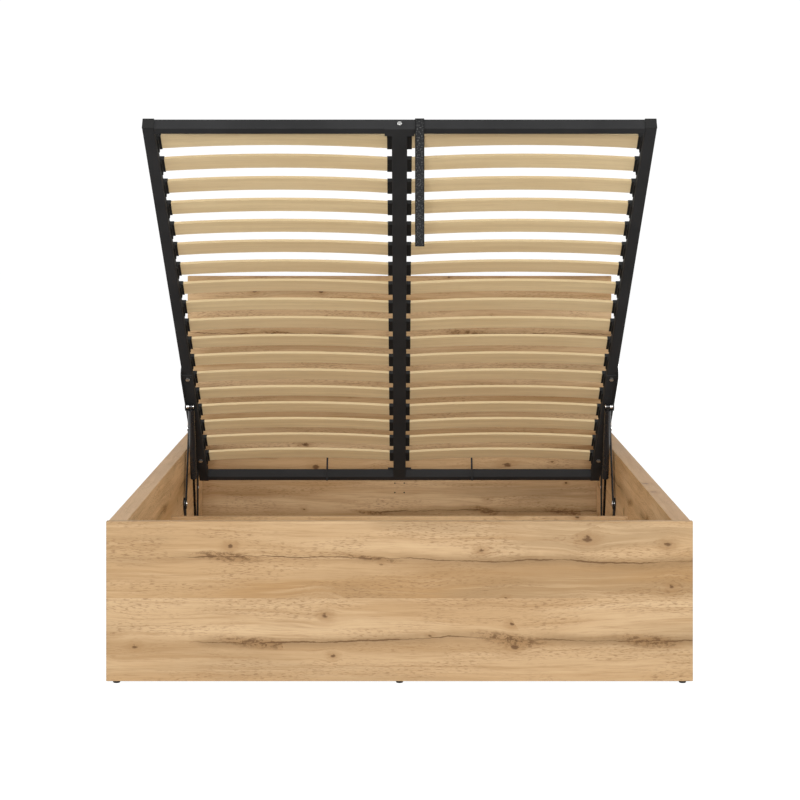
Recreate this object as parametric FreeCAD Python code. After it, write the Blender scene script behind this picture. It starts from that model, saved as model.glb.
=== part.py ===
"""Storage bed with a lift-up slatted base, standing open as it does while it is being filled.

Millimetres and degrees. X runs across the bed, +Y from the foot to the headboard, +Z up.
The origin is on the floor, in the middle of the bed's plan.
"""
import FreeCAD, Part
import math
import os

V = FreeCAD.Vector

# Panels of the box
BED_WIDTH = 1450.0
INNER_LENGTH = 2012.0
RAIL_HEIGHT = 395.0
SIDE_RAIL_T = 46.0
PANEL_OVERHANG = 4.0
FOOT_PANEL_T = 18.0
HEADBOARD_T = 22.0
HEADBOARD_HEIGHT = 925.0
PANEL_EDGE_R = 1.5
DIVIDER_T = 18.0
DIVIDER_HEIGHT = 254.0
FLOOR_T = 10.0
FLOOR_CLEAR = 1.0
BATTEN = 20.0
BATTEN_LIFT = 4.0
GLIDE_D = 18.0
GLIDE_H = 5.0
GLIDE_CHAMFER = 1.5
GLIDE_INSET = 25.0
RAIL_GLIDE_INSET = 500.0

# Bored pattern in the headboard for a centre rail bracket
PILOT_GRID = 32.0
PILOT_D = 5.0
PILOT_DEPTH = 12.0
PILOT_HEIGHT = 200.0

# Steel angles in the corners of the box
ANGLE_LEG = 40.0
ANGLE_T = 3.0
ANGLE_HEIGHT = 60.0
ANGLE_LIFT = 40.0
ANGLE_SCREW_INSET = 15.0
SCREW_HEAD_D = 9.0
SCREW_HEAD_H = 2.0
SCREW_SHANK_D = 4.0
SCREW_LENGTH = 14.0

# Lifting frame
HEAD_GAP = 64.0
FOOT_GAP = 14.0
SIDE_GAP = 13.1
TUBE_W = 30.0
TUBE_H = 30.0
CROSS_W = 25.0
BEAM_W = 40.0
TUBE_WALL = 1.5
TUBE_R = 2.5
WELD_GAP = 0.2
END_CAP_T = 2.5
END_CAP_PLUG = 12.0
PLUG_CLEAR = 0.2
TEE_T = 3.0
TEE_WIDTH = 77.0
TEE_STEM = 45.0
TEE_LEDGE = 4.0
RAIL_BOLT_D = 8.0
RAIL_BOLT_HEAD_D = 12.0
RAIL_BOLT_HEAD_H = 4.0
RAIL_BOLT_LENGTH = 45.0
STOP_ROD_D = 6.0
STOP_WIDTH = 478.0
STOP_RISE = 92.0
STOP_TAIL = 14.0
STOP_BEND_R = 14.0

# Sprung slats and their caps
SLAT_ROWS = 18
SLAT_FIRST = 103.8
SLAT_LAST = 106.4
SLAT_WIDTH = 53.0
SLAT_T = 8.0
SLAT_BOW = 12.0
CAP_H = 12.0
CAP_WALL = 1.2
CAP_ROOF = 1.1
CAP_REACH = 9.3
CAP_SEAT = 18.0
CAP_LIP_T = 3.0
CAP_LIP_H = 11.0
POCKET_DEPTH = 20.8
POCKET_SIDE_CLEAR = 0.4
SLAT_END_GAP = 2.0
CENTRE_CAP_HALF = 32.5
CENTRE_WEB = 11.0
SEAT_GAP = 0.2

# Lift fittings: arm, guide slot and gas spring
RAISE_ANGLE = 35.2
GUIDE_SLOPE = 15.7
ARM_LENGTH = 245.0
GUIDE_INSET = 110.0
FITTING_T = 3.2
ARM_T = 4.0
ARM_PLAY = 1.0
ARM_BOSS_R = 18.0
ARM_WAIST = 26.0
UPPER_FRONT = 709.0
UPPER_REAR = 70.0
UPPER_RISE = 24.0
UPPER_DROP = 18.0
UPPER_BOLT_D = 8.0
UPPER_BOLT_HEAD_D = 13.0
UPPER_BOLT_HEAD_H = 5.0
UPPER_FRONT_BOLT = 41.0
UPPER_REAR_BOLT = 76.0
PIVOT_D = 10.0
PIVOT_HEAD_D = 18.0
PIVOT_HEAD_H = 2.5
PIVOT_PLAY = 0.1
ROLLER_D = 14.0
ROLLER_PIN_D = 8.0
SLOT_PLAY = 0.3
GUIDE_BAR_W = 44.0
BRACKET_BAR_W = 36.0
BRACKET_REAR_INSET = 12.0
SPRING_REACH = 170.0
SPRING_DROP = 18.0
SPRING_FOOT_Y = 120.6
SPRING_FOOT_DROP = 150.0
SPRING_OFFSET = 28.0
SPRING_PIN_D = 8.0
EYE_D = 18.0
EYE_T = 12.0
EYE_PLAY = 0.3
SPACER_D = 13.0
CLIP_T = 2.0
CYLINDER_D = 20.0
CYLINDER_WALL = 2.0
CYLINDER_END_CLEAR = 22.0
CYLINDER_NECK = 12.0
NECK_D = 9.0
GLAND_T = 6.0
ROD_D = 8.0
PISTON_T = 4.0
PISTON_MARGIN = 3.5
GAS_PLAY = 0.3

# Rests that carry the foot end of the closed frame
REST_FROM_FOOT = 110.0
REST_LENGTH = 60.0
REST_LEG = 50.0
REST_T = 3.0
PAD_T = 4.0
PAD_GAP = 0.3
PAD_MARGIN = 3.0

# Pull strap
STRAP_X = 51.8
STRAP_W = 24.0
STRAP_T = 2.5
STRAP_TAIL = 302.0
STRAP_GAP = 0.3


def box(x0, x1, y0, y1, z0, z1):
    return Part.makeBox(x1 - x0, y1 - y0, z1 - z0, V(x0, y0, z0))


def rounded(shape, radius):
    return shape.makeFillet(radius, shape.Edges)


def rod_x(x0, x1, y, z, diameter):
    return Part.makeCylinder(diameter / 2, x1 - x0, V(x0, y, z), V(1, 0, 0))


def bar_yz(start, end, width, x0, x1):
    """Flat bar with round ends between two points of a plane square to X."""
    half = width / 2
    along = V(0, end[0] - start[0], end[1] - start[1])
    run = along.Length
    along.normalize()
    across = V(1, 0, 0).cross(along)
    first = V(x0, start[0], start[1])
    last = first + along * run
    tip = last + along * half
    heel = first - along * half
    edges = [
        Part.makeLine(first + across * half, last + across * half),
        Part.Arc(last + across * half, tip, last - across * half).toShape(),
        Part.makeLine(last - across * half, first - across * half),
        Part.Arc(first - across * half, heel, first + across * half).toShape(),
    ]
    return Part.Face(Part.Wire(edges)).extrude(V(x1 - x0, 0, 0))


def tube_along(axis, x0, x1, y0, y1, z0, z1):
    """Rectangular tube, open at both ends, with its long edges rounded."""
    outer = box(x0, x1, y0, y1, z0, z1)
    long_edges = [e for e in outer.Edges if abs((e.Vertexes[1].Point - e.Vertexes[0].Point).dot(axis)) > 1e-6]
    outer = outer.makeFillet(TUBE_R, long_edges)
    wall = V(TUBE_WALL, TUBE_WALL, TUBE_WALL) - axis * TUBE_WALL
    inner = box(x0 + wall.x, x1 - wall.x, y0 + wall.y, y1 - wall.y, z0 + wall.z, z1 - wall.z)
    return outer.cut(inner)


def mirrored(shape):
    return shape.mirror(V(0, 0, 0), V(1, 0, 0))


def save(name, *solids):
    shape = solids[0] if len(solids) == 1 else Part.makeCompound(list(solids))
    shape.exportStep("parts/" + name + ".step")


def save_pair(name, right_shape):
    save("right_" + name, right_shape)
    save("left_" + name, mirrored(right_shape))


os.makedirs("parts", exist_ok=True)

# Planes that the pieces share
front_y = -(FOOT_PANEL_T + INNER_LENGTH + HEADBOARD_T) / 2
inner_front_y = front_y + FOOT_PANEL_T
head_y = inner_front_y + INNER_LENGTH
back_y = head_y + HEADBOARD_T
base_z = GLIDE_H
rail_top_z = base_z + RAIL_HEIGHT
half_width = BED_WIDTH / 2
rail_outer_x = half_width - PANEL_OVERHANG
rail_inner_x = rail_outer_x - SIDE_RAIL_T
middle_y = (inner_front_y + head_y) / 2
divider_front_y = middle_y - DIVIDER_T / 2
divider_back_y = middle_y + DIVIDER_T / 2

# Foot panel, side rails and divider: boards with a softened edge band
save("foot_panel", rounded(box(-half_width, half_width, front_y, inner_front_y, base_z, rail_top_z), PANEL_EDGE_R))
save_pair("side_rail", rounded(box(rail_inner_x, rail_outer_x, inner_front_y, head_y, base_z, rail_top_z), PANEL_EDGE_R))
divider = box(-rail_inner_x, rail_inner_x, divider_front_y, divider_back_y, base_z, base_z + DIVIDER_HEIGHT)
save("storage_divider", rounded(divider, PANEL_EDGE_R))

# Headboard with the bored pattern in its front face
headboard = rounded(box(-half_width, half_width, head_y, back_y, base_z, base_z + HEADBOARD_HEIGHT), PANEL_EDGE_R)
for side in (-1, 1):
    for level in (-1, 1):
        hole_at = V(side * PILOT_GRID / 2, head_y, base_z + PILOT_HEIGHT + level * PILOT_GRID / 2)
        headboard = headboard.cut(Part.makeCylinder(PILOT_D / 2, PILOT_DEPTH, hole_at, V(0, 1, 0)))
save("headboard", headboard)

# Storage floor: a front and a rear board lying on battens
batten_z = base_z + BATTEN_LIFT
floor_z = batten_z + BATTEN
floor_half = rail_inner_x - FLOOR_CLEAR
bays = {
    "front": (inner_front_y, divider_front_y),
    "rear": (divider_back_y, head_y),
}
battens = []
for bay, (bay_start, bay_end) in bays.items():
    board = box(-floor_half, floor_half, bay_start + FLOOR_CLEAR, bay_end - FLOOR_CLEAR, floor_z, floor_z + FLOOR_T)
    save(bay + "_floor_panel", board)
    batten = box(rail_inner_x - BATTEN, rail_inner_x, bay_start, bay_end, batten_z, floor_z)
    battens += [batten, mirrored(batten)]
cross_half = rail_inner_x - BATTEN
battens.append(box(-cross_half, cross_half, divider_front_y - BATTEN, divider_front_y, batten_z, floor_z))
battens.append(box(-cross_half, cross_half, divider_back_y, divider_back_y + BATTEN, batten_z, floor_z))
save("floor_battens", *battens)

# Nail-on glides under every panel
glide_x = half_width - GLIDE_INSET
rail_middle_x = (rail_inner_x + rail_outer_x) / 2
foot_middle_y = (front_y + inner_front_y) / 2
head_middle_y = (head_y + back_y) / 2
glide_points = [(x, y) for y in (foot_middle_y, head_middle_y) for x in (-glide_x, 0.0, glide_x)]
glide_points += [(s * rail_middle_x, y) for s in (-1, 1) for y in (inner_front_y + RAIL_GLIDE_INSET, head_y - RAIL_GLIDE_INSET)]
glide_points.append((0.0, middle_y))
glides = []
for x, y in glide_points:
    rim = Part.makeCylinder(GLIDE_D / 2, GLIDE_H - GLIDE_CHAMFER, V(x, y, GLIDE_CHAMFER))
    foot = Part.makeCone(GLIDE_D / 2 - GLIDE_CHAMFER, GLIDE_D / 2, GLIDE_CHAMFER, V(x, y, 0))
    glides.append(rim.fuse(foot).removeSplitter())
save("floor_glides", *glides)


def screw(seat, drive):
    """Flat pan-head screw whose head stands on the seat and whose shank runs along drive."""
    head = Part.makeCylinder(SCREW_HEAD_D / 2, SCREW_HEAD_H, seat, drive * -1)
    shank = Part.makeCylinder(SCREW_SHANK_D / 2, SCREW_LENGTH, seat, drive)
    return head.fuse(shank)


def screw_hole(seat, drive):
    return Part.makeCylinder(SCREW_SHANK_D / 2, SCREW_LENGTH, seat, drive)


# Steel angles in the four corners, with their screws
angle_z0 = base_z + ANGLE_LIFT
angle_z1 = angle_z0 + ANGLE_HEIGHT
angles = []
angle_screws = []
for wall_y, inward in ((inner_front_y, 1), (head_y, -1)):
    rail_leg_y = sorted((wall_y, wall_y + inward * ANGLE_LEG))
    panel_leg_y = sorted((wall_y, wall_y + inward * ANGLE_T))
    rail_leg = box(rail_inner_x - ANGLE_T, rail_inner_x, rail_leg_y[0], rail_leg_y[1], angle_z0, angle_z1)
    panel_leg = box(rail_inner_x - ANGLE_LEG, rail_inner_x, panel_leg_y[0], panel_leg_y[1], angle_z0, angle_z1)
    angle = rail_leg.fuse(panel_leg).removeSplitter()
    leg_middle = (ANGLE_LEG + ANGLE_T) / 2
    for z in (angle_z0 + ANGLE_SCREW_INSET, angle_z1 - ANGLE_SCREW_INSET):
        rail_seat = V(rail_inner_x - ANGLE_T, wall_y + inward * leg_middle, z)
        panel_seat = V(rail_inner_x - leg_middle, wall_y + inward * ANGLE_T, z)
        for seat, drive in ((rail_seat, V(1, 0, 0)), (panel_seat, V(0, -inward, 0))):
            angle = angle.cut(screw_hole(seat, drive))
            one = screw(seat, drive).common(box(0, rail_inner_x, inner_front_y, head_y, angle_z0, angle_z1))
            angle_screws += [one, mirrored(one)]
    angles += [angle, mirrored(angle)]
save("corner_angles", *angles)
save("corner_screws", *angle_screws)

# Pivots of the lift, seen from the side as (y, z).
# The arm and the stretch of frame behind its upper pivot are equally long, so the guide
# roller runs on a straight line through the arm's lower pivot while the frame tilts.
slope = math.radians(GUIDE_SLOPE)
tilt = math.radians(RAISE_ANGLE)
frame_closed_z = rail_top_z - TUBE_H
roller_closed = (head_y - HEAD_GAP - GUIDE_INSET, frame_closed_z)
closed_reach = 2 * ARM_LENGTH * math.cos(slope)
open_reach = 2 * ARM_LENGTH * math.cos(slope + tilt)
arm_foot = (roller_closed[0] - closed_reach * math.cos(slope), roller_closed[1] - closed_reach * math.sin(slope))
roller_open = (arm_foot[0] + open_reach * math.cos(slope), arm_foot[1] + open_reach * math.sin(slope))
arm_angle = 2 * slope + tilt
arm_head = (arm_foot[0] + ARM_LENGTH * math.cos(arm_angle), arm_foot[1] + ARM_LENGTH * math.sin(arm_angle))
spring_foot = (arm_foot[0] + SPRING_FOOT_Y, arm_foot[1] - SPRING_FOOT_DROP)
frame_corner = (roller_open[0] + GUIDE_INSET * math.cos(tilt), roller_open[1] - GUIDE_INSET * math.sin(tilt))


def raised(shape):
    """Place a piece drawn on the flat frame, whose head corner is the origin, on the raised one."""
    placed = shape.copy()
    placed.rotate(V(0, 0, 0), V(1, 0, 0), -RAISE_ANGLE)
    placed.translate(V(0, frame_corner[0], frame_corner[1]))
    return placed


def on_frame(y, z):
    """Side view point of the raised frame for a point of the flat one."""
    return (frame_corner[0] + y * math.cos(tilt) + z * math.sin(tilt),
            frame_corner[1] - y * math.sin(tilt) + z * math.cos(tilt))


# Layers of the lift between a side rail and the frame
frame_length = INNER_LENGTH - HEAD_GAP - FOOT_GAP
frame_x = rail_inner_x - SIDE_GAP
tube_inner_x = frame_x - TUBE_W
upper_x = frame_x + FITTING_T
arm_x0 = upper_x + ARM_PLAY
arm_x1 = arm_x0 + ARM_T
bracket_x = rail_inner_x - FITTING_T
spring_x = rail_inner_x - SPRING_OFFSET
eye_x0 = spring_x - EYE_T / 2
eye_x1 = spring_x + EYE_T / 2

# Lift bracket: an open plate on the side rail with the guide slot along its top
bracket_rear = (roller_closed[0] - BRACKET_REAR_INSET, spring_foot[1])
bracket = bar_yz(arm_foot, spring_foot, BRACKET_BAR_W, bracket_x, rail_inner_x)
for start, end, width in (
    (spring_foot, bracket_rear, BRACKET_BAR_W),
    (bracket_rear, roller_closed, BRACKET_BAR_W),
    (roller_open, roller_closed, GUIDE_BAR_W),
):
    bracket = bracket.fuse(bar_yz(start, end, width, bracket_x, rail_inner_x))
slot_width = ROLLER_D + 2 * SLOT_PLAY
bracket = bracket.cut(bar_yz(roller_open, roller_closed, slot_width, bracket_x, rail_inner_x))
bracket = bracket.cut(rod_x(bracket_x, rail_inner_x, arm_foot[0], arm_foot[1], PIVOT_D))
bracket = bracket.cut(rod_x(bracket_x, rail_inner_x, spring_foot[0], spring_foot[1], SPRING_PIN_D))


def between(start, end, share):
    return (start[0] + (end[0] - start[0]) * share, start[1] + (end[1] - start[1]) * share)


bracket_screw_points = [
    between(arm_foot, spring_foot, 0.5),
    between(spring_foot, bracket_rear, 0.25),
    between(spring_foot, bracket_rear, 0.75),
    bracket_rear,
    between(bracket_rear, roller_closed, 0.5),
]
bracket_screws = []
for y, z in bracket_screw_points:
    seat = V(bracket_x, y, z)
    bracket = bracket.cut(screw_hole(seat, V(1, 0, 0)))
    one = screw(seat, V(1, 0, 0)).common(box(0, rail_inner_x, inner_front_y, head_y, base_z, rail_top_z))
    bracket_screws += [one, mirrored(one)]
save_pair("lift_bracket", bracket.removeSplitter())
save("bracket_screws", *bracket_screws)

# Lower pivots: a headed rivet with a collar for the arm, a stud with spacer and clip for the spring
arm_pivot = rod_x(arm_x0, rail_inner_x, arm_foot[0], arm_foot[1], PIVOT_D)
arm_pivot = arm_pivot.fuse(rod_x(arm_x0 - SEAT_GAP - PIVOT_HEAD_H, arm_x0 - SEAT_GAP, arm_foot[0], arm_foot[1], PIVOT_HEAD_D))
arm_pivot = arm_pivot.fuse(rod_x(arm_x0 - SEAT_GAP, arm_x0, arm_foot[0], arm_foot[1], PIVOT_D))
arm_pivot = arm_pivot.fuse(rod_x(arm_x1 + SEAT_GAP, bracket_x, arm_foot[0], arm_foot[1], PIVOT_HEAD_D))
save("arm_pivots", arm_pivot, mirrored(arm_pivot))


def spring_stud(y, z, x_end):
    """Stud for a spring eye: shank, spacer out to the plate that carries it, and end clip."""
    stud = rod_x(eye_x0 - EYE_PLAY - CLIP_T, x_end, y, z, SPRING_PIN_D)
    return stud.fuse(rod_x(eye_x0 - EYE_PLAY - CLIP_T, eye_x0 - EYE_PLAY, y, z, SPACER_D))


lower_stud = spring_stud(spring_foot[0], spring_foot[1], rail_inner_x)
lower_stud = lower_stud.fuse(rod_x(eye_x1 + EYE_PLAY, bracket_x, spring_foot[0], spring_foot[1], SPACER_D))
save("spring_foot_studs", lower_stud, mirrored(lower_stud))

# Lift arm: flat bar with a boss round each pivot
arm = bar_yz(arm_foot, arm_head, ARM_WAIST, arm_x0, arm_x1)
for y, z in (arm_foot, arm_head):
    arm = arm.fuse(rod_x(arm_x0, arm_x1, y, z, 2 * ARM_BOSS_R))
for y, z in (arm_foot, arm_head):
    arm = arm.cut(rod_x(arm_x0, arm_x1, y, z, PIVOT_D + 2 * PIVOT_PLAY))
save_pair("lift_arm", arm.removeSplitter())

# Rests for the closed frame: steel angles on the side rails with rubber pads
rest_y0 = inner_front_y + REST_FROM_FOOT
rest_y1 = rest_y0 + REST_LENGTH
pad_top_z = frame_closed_z - PAD_GAP
rest_top_z = pad_top_z - PAD_T
rest = box(rail_inner_x - REST_LEG, rail_inner_x, rest_y0, rest_y1, rest_top_z - REST_T, rest_top_z)
rest = rest.fuse(box(rail_inner_x - REST_T, rail_inner_x, rest_y0, rest_y1, rest_top_z - REST_LEG, rest_top_z))
rest = rest.removeSplitter()
rest_screws = []
for share in (0.25, 0.75):
    seat = V(rail_inner_x - REST_T, rest_y0 + REST_LENGTH * share, rest_top_z - REST_LEG / 2)
    rest = rest.cut(screw_hole(seat, V(1, 0, 0)))
    one = screw(seat, V(1, 0, 0)).common(box(0, rail_inner_x, rest_y0, rest_y1, base_z, rest_top_z))
    rest_screws += [one, mirrored(one)]
save_pair("frame_rest", rest)
save("rest_screws", *rest_screws)
pad = box(tube_inner_x + PAD_MARGIN, frame_x - PAD_MARGIN, rest_y0 + PAD_MARGIN, rest_y1 - PAD_MARGIN, rest_top_z, pad_top_z)
save("rest_pads", pad, mirrored(pad))

# Frame tubes, drawn flat: the head end is y = 0, the underside is z = 0
foot_end = -frame_length
foot_rail_y = foot_end + CROSS_W
side_tube = tube_along(V(0, 1, 0), tube_inner_x, frame_x, foot_end, 0, 0, TUBE_H)
cross_end_x = tube_inner_x - WELD_GAP
foot_rail = tube_along(V(1, 0, 0), -cross_end_x, cross_end_x, foot_end, foot_rail_y, 0, TUBE_H)
head_rail = tube_along(V(1, 0, 0), -cross_end_x, cross_end_x, -CROSS_W, 0, 0, TUBE_H)
beam_y0 = foot_rail_y + WELD_GAP
beam_y1 = -CROSS_W - WELD_GAP
centre_beam = tube_along(V(0, 1, 0), -BEAM_W / 2, BEAM_W / 2, beam_y0, beam_y1, 0, TUBE_H)
save_pair("side_tube", raised(side_tube))

# Bolt through the middle of the foot rail into the end of the centre beam
bolt_at = V(0, foot_end, TUBE_H / 2)
rail_bolt = Part.makeCylinder(RAIL_BOLT_D / 2, RAIL_BOLT_LENGTH, bolt_at, V(0, 1, 0))
bolt_head = Part.makeCylinder(RAIL_BOLT_HEAD_D / 2, RAIL_BOLT_HEAD_H, bolt_at, V(0, -1, 0))
rim = [e for e in bolt_head.Edges if e.BoundBox.YMax < foot_end - RAIL_BOLT_HEAD_H / 2 and e.BoundBox.XLength > 1]
bolt_head = bolt_head.makeChamfer(RAIL_BOLT_HEAD_H / 3, rim)
bolt_hole = Part.makeCylinder(RAIL_BOLT_D / 2, RAIL_BOLT_LENGTH, bolt_at, V(0, 1, 0))
save("foot_rail", raised(foot_rail.cut(bolt_hole)))
save("head_rail", raised(head_rail))
save("centre_beam", raised(centre_beam))
save("foot_rail_bolt", raised(rail_bolt.fuse(bolt_head)))

# Tee plates over the joints of centre beam and rails: below at the foot end, above at the head end
for name, rail_edge, rail_face, inward, plate_z in (
    ("foot_tee_plate", foot_end, foot_rail_y, 1, -TEE_T),
    ("head_tee_plate", 0.0, -CROSS_W, -1, TUBE_H),
):
    bar_y = sorted((rail_edge, rail_face + inward * TEE_LEDGE))
    stem_y = sorted((rail_face, rail_face + inward * TEE_STEM))
    tee = box(-TEE_WIDTH / 2, TEE_WIDTH / 2, bar_y[0], bar_y[1], plate_z, plate_z + TEE_T)
    tee = tee.fuse(box(-BEAM_W / 2, BEAM_W / 2, stem_y[0], stem_y[1], plate_z, plate_z + TEE_T)).removeSplitter()
    save(name, raised(tee))

# Plugs in the open ends of the side tubes
end_caps = []
plug_wall = TUBE_WALL + PLUG_CLEAR
for end_y, outward in ((foot_end, -1), (0.0, 1)):
    face_y = sorted((end_y, end_y + outward * END_CAP_T))
    plug_y = sorted((end_y, end_y - outward * END_CAP_PLUG))
    cap = box(tube_inner_x, frame_x, face_y[0], face_y[1], 0, TUBE_H)
    plug = box(tube_inner_x + plug_wall, frame_x - plug_wall, plug_y[0], plug_y[1], plug_wall, TUBE_H - plug_wall)
    cap = raised(cap.fuse(plug))
    end_caps += [cap, mirrored(cap)]
save("tube_end_caps", *end_caps)

# Mattress stop: one bent rod standing against the inner face of the head rail
stop_y = -CROSS_W - STOP_ROD_D / 2 - SEAT_GAP
stop_x = STOP_WIDTH / 2
corner = STOP_BEND_R * (1 - math.sqrt(0.5))
path = Part.Wire([
    Part.makeLine(V(-stop_x, stop_y, -STOP_TAIL), V(-stop_x, stop_y, STOP_RISE - STOP_BEND_R)),
    Part.Arc(V(-stop_x, stop_y, STOP_RISE - STOP_BEND_R),
             V(-stop_x + corner, stop_y, STOP_RISE - corner),
             V(-stop_x + STOP_BEND_R, stop_y, STOP_RISE)).toShape(),
    Part.makeLine(V(-stop_x + STOP_BEND_R, stop_y, STOP_RISE), V(stop_x - STOP_BEND_R, stop_y, STOP_RISE)),
    Part.Arc(V(stop_x - STOP_BEND_R, stop_y, STOP_RISE),
             V(stop_x - corner, stop_y, STOP_RISE - corner),
             V(stop_x, stop_y, STOP_RISE - STOP_BEND_R)).toShape(),
    Part.makeLine(V(stop_x, stop_y, STOP_RISE - STOP_BEND_R), V(stop_x, stop_y, -STOP_TAIL)),
])
section = Part.Wire(Part.makeCircle(STOP_ROD_D / 2, V(-stop_x, stop_y, -STOP_TAIL), V(0, 0, 1)))
save("mattress_stop", raised(path.makePipeShell([section], True, True)))

# Slat caps: a moulded pocket on the side tube and a double one on the centre beam
cap_half = SLAT_WIDTH / 2 + POCKET_SIDE_CLEAR + CAP_WALL
pocket_half = SLAT_WIDTH / 2 + POCKET_SIDE_CLEAR
cap_z0 = TUBE_H + SEAT_GAP
cap_z1 = cap_z0 + CAP_H
pocket_z0 = cap_z0 + CAP_ROOF
pocket_z1 = cap_z1 - CAP_ROOF
cap_mouth_x = tube_inner_x - CAP_REACH


def outer_cap(y):
    body = box(cap_mouth_x, tube_inner_x + CAP_SEAT, y - cap_half, y + cap_half, cap_z0, cap_z1)
    lip_x1 = tube_inner_x - SEAT_GAP
    lip = box(lip_x1 - CAP_LIP_T, lip_x1, y - cap_half, y + cap_half, cap_z0 - CAP_LIP_H, cap_z0)
    pocket = box(cap_mouth_x, cap_mouth_x + POCKET_DEPTH, y - pocket_half, y + pocket_half, pocket_z0, pocket_z1)
    return body.fuse(lip).removeSplitter().cut(pocket)


def centre_cap(y):
    cap = box(-CENTRE_CAP_HALF, CENTRE_CAP_HALF, y - cap_half, y + cap_half, cap_z0, cap_z1)
    for x0, x1 in ((-CENTRE_CAP_HALF, -CENTRE_WEB), (CENTRE_WEB, CENTRE_CAP_HALF)):
        cap = cap.cut(box(x0, x1, y - pocket_half, y + pocket_half, pocket_z0, pocket_z1))
    return cap


# Sprung slats: laminated strips bowed up between their caps
slat_x0 = CENTRE_WEB + SLAT_END_GAP
slat_x1 = cap_mouth_x + POCKET_DEPTH - SLAT_END_GAP
slat_xm = (slat_x0 + slat_x1) / 2
slat_z = pocket_z0 + SEAT_GAP


def slat(y):
    start = V(slat_x0, y - SLAT_WIDTH / 2, slat_z)
    crown = V(slat_xm, y - SLAT_WIDTH / 2, slat_z + SLAT_BOW)
    end = V(slat_x1, y - SLAT_WIDTH / 2, slat_z)
    up = V(0, 0, SLAT_T)
    edges = [
        Part.Arc(start, crown, end).toShape(),
        Part.makeLine(end, end + up),
        Part.Arc(end + up, crown + up, start + up).toShape(),
        Part.makeLine(start + up, start),
    ]
    return Part.Face(Part.Wire(edges)).extrude(V(0, SLAT_WIDTH, 0))


slat_pitch = (frame_length - SLAT_FIRST - SLAT_LAST) / (SLAT_ROWS - 1)
slat_rows_y = [foot_end + SLAT_FIRST + row * slat_pitch for row in range(SLAT_ROWS)]
right_slats = [raised(slat(y)) for y in slat_rows_y]
right_caps = [raised(outer_cap(y)) for y in slat_rows_y]
save("right_slats", *right_slats)
save("left_slats", *[mirrored(s) for s in right_slats])
save("right_slat_caps", *right_caps)
save("left_slat_caps", *[mirrored(c) for c in right_caps])
save("centre_slat_caps", *[raised(centre_cap(y)) for y in slat_rows_y])

# Upper angle on each side tube: outer flange with the pivots, flange under the tube with two bolts
roller_y = -GUIDE_INSET
arm_head_y = -(GUIDE_INSET + ARM_LENGTH)
spring_head_y = arm_head_y - SPRING_REACH
upper_middle = (UPPER_RISE - UPPER_DROP) / 2
upper_width = UPPER_RISE + UPPER_DROP
upper = bar_yz((-UPPER_FRONT + upper_width / 2, upper_middle), (-UPPER_REAR - upper_width / 2, upper_middle),
               upper_width, frame_x, upper_x)
upper = upper.fuse(bar_yz((spring_head_y, upper_middle), (spring_head_y, -SPRING_DROP), 2 * SPACER_D, frame_x, upper_x))
upper = upper.fuse(box(tube_inner_x, frame_x, -UPPER_FRONT + upper_width / 2, -UPPER_REAR - upper_width / 2, -FITTING_T, 0))
upper = upper.removeSplitter()
upper = upper.cut(rod_x(frame_x, upper_x, roller_y, 0, ROLLER_PIN_D))
upper = upper.cut(rod_x(frame_x, upper_x, arm_head_y, 0, PIVOT_D))
upper = upper.cut(rod_x(frame_x, upper_x, spring_head_y, -SPRING_DROP, SPRING_PIN_D))
bolt_x = (tube_inner_x + frame_x) / 2
upper_bolts = []
for y in (-UPPER_FRONT + UPPER_FRONT_BOLT, -UPPER_REAR - UPPER_REAR_BOLT):
    bolt_hole = Part.makeCylinder(UPPER_BOLT_D / 2, FITTING_T, V(bolt_x, y, -FITTING_T), V(0, 0, 1))
    upper = upper.cut(bolt_hole)
    hexagon = Part.makePolygon([
        V(bolt_x + UPPER_BOLT_HEAD_D / 2 * math.cos(math.radians(60 * k)),
          y + UPPER_BOLT_HEAD_D / 2 * math.sin(math.radians(60 * k)), -FITTING_T) for k in range(7)])
    head = Part.Face(hexagon).extrude(V(0, 0, -UPPER_BOLT_HEAD_H))
    one = raised(head.fuse(bolt_hole))
    upper_bolts += [one, mirrored(one)]
save_pair("upper_angle", raised(upper))
save("upper_angle_bolts", *upper_bolts)

# Upper pivots: rivet for the arm, pin with spacer and roller for the guide slot, stud for the spring
arm_rivet = rod_x(frame_x, arm_x1 + SEAT_GAP, arm_head_y, 0, PIVOT_D)
arm_rivet = arm_rivet.fuse(rod_x(arm_x1 + SEAT_GAP, arm_x1 + SEAT_GAP + PIVOT_HEAD_H, arm_head_y, 0, PIVOT_HEAD_D))
arm_rivet = arm_rivet.fuse(rod_x(upper_x, arm_x0 - SEAT_GAP, arm_head_y, 0, PIVOT_HEAD_D))
arm_rivet = raised(arm_rivet)
save("arm_head_rivets", arm_rivet, mirrored(arm_rivet))
roller_pin = rod_x(frame_x, rail_inner_x - SLOT_PLAY, roller_y, 0, ROLLER_PIN_D)
roller_pin = roller_pin.fuse(rod_x(upper_x, bracket_x - SLOT_PLAY, roller_y, 0, PIVOT_HEAD_D))
roller_pin = raised(roller_pin)
save("guide_pins", roller_pin, mirrored(roller_pin))
roller = rod_x(bracket_x, rail_inner_x - SLOT_PLAY, roller_y, 0, ROLLER_D)
roller = raised(roller.cut(rod_x(bracket_x, rail_inner_x, roller_y, 0, ROLLER_PIN_D)))
save("guide_rollers", roller, mirrored(roller))
upper_stud = spring_stud(spring_head_y, -SPRING_DROP, upper_x)
upper_stud = upper_stud.fuse(rod_x(eye_x1 + EYE_PLAY, frame_x, spring_head_y, -SPRING_DROP, SPACER_D))
upper_stud = raised(upper_stud)
save("spring_head_studs", upper_stud, mirrored(upper_stud))

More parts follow.
